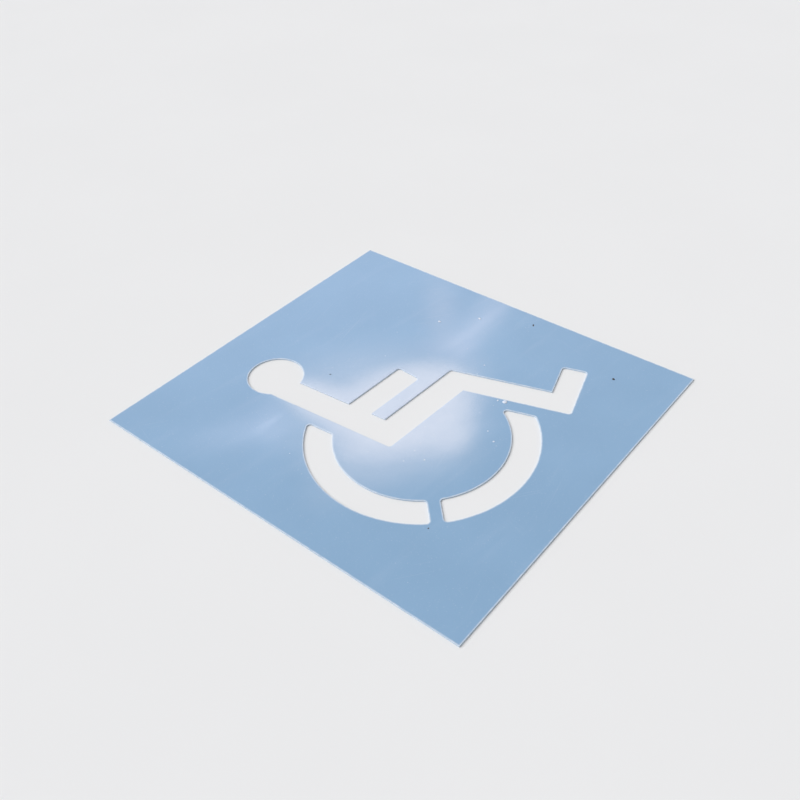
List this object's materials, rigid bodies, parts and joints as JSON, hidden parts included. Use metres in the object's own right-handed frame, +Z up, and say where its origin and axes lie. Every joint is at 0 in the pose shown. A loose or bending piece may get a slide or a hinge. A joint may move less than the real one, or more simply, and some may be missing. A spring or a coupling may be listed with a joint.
{
  "type": "pavement stencil",
  "caption": "Flat rectangular sheet with a wheelchair access symbol cut through it, laid on the ground and painted through to mark a parking bay, with dried overspray on its upper face.",
  "frame": {"origin": "middle of the sheet on its underside", "axes": "+X the way the figure faces, +Y the figure's upright, along the sheet's longer side, +Z up out of the painted face"},
  "size_m": [0.915, 0.99, 0.0034],
  "materials": {
    "sheet": "glossy, pale blue",
    "paint": "matt dried spray paint, white"
  },
  "bodies": {
    "root": {"stencil_sheet": "sheet", "front_paint_coat": "paint", "rear_paint_coat": "paint"}
  },
  "joints": []
}
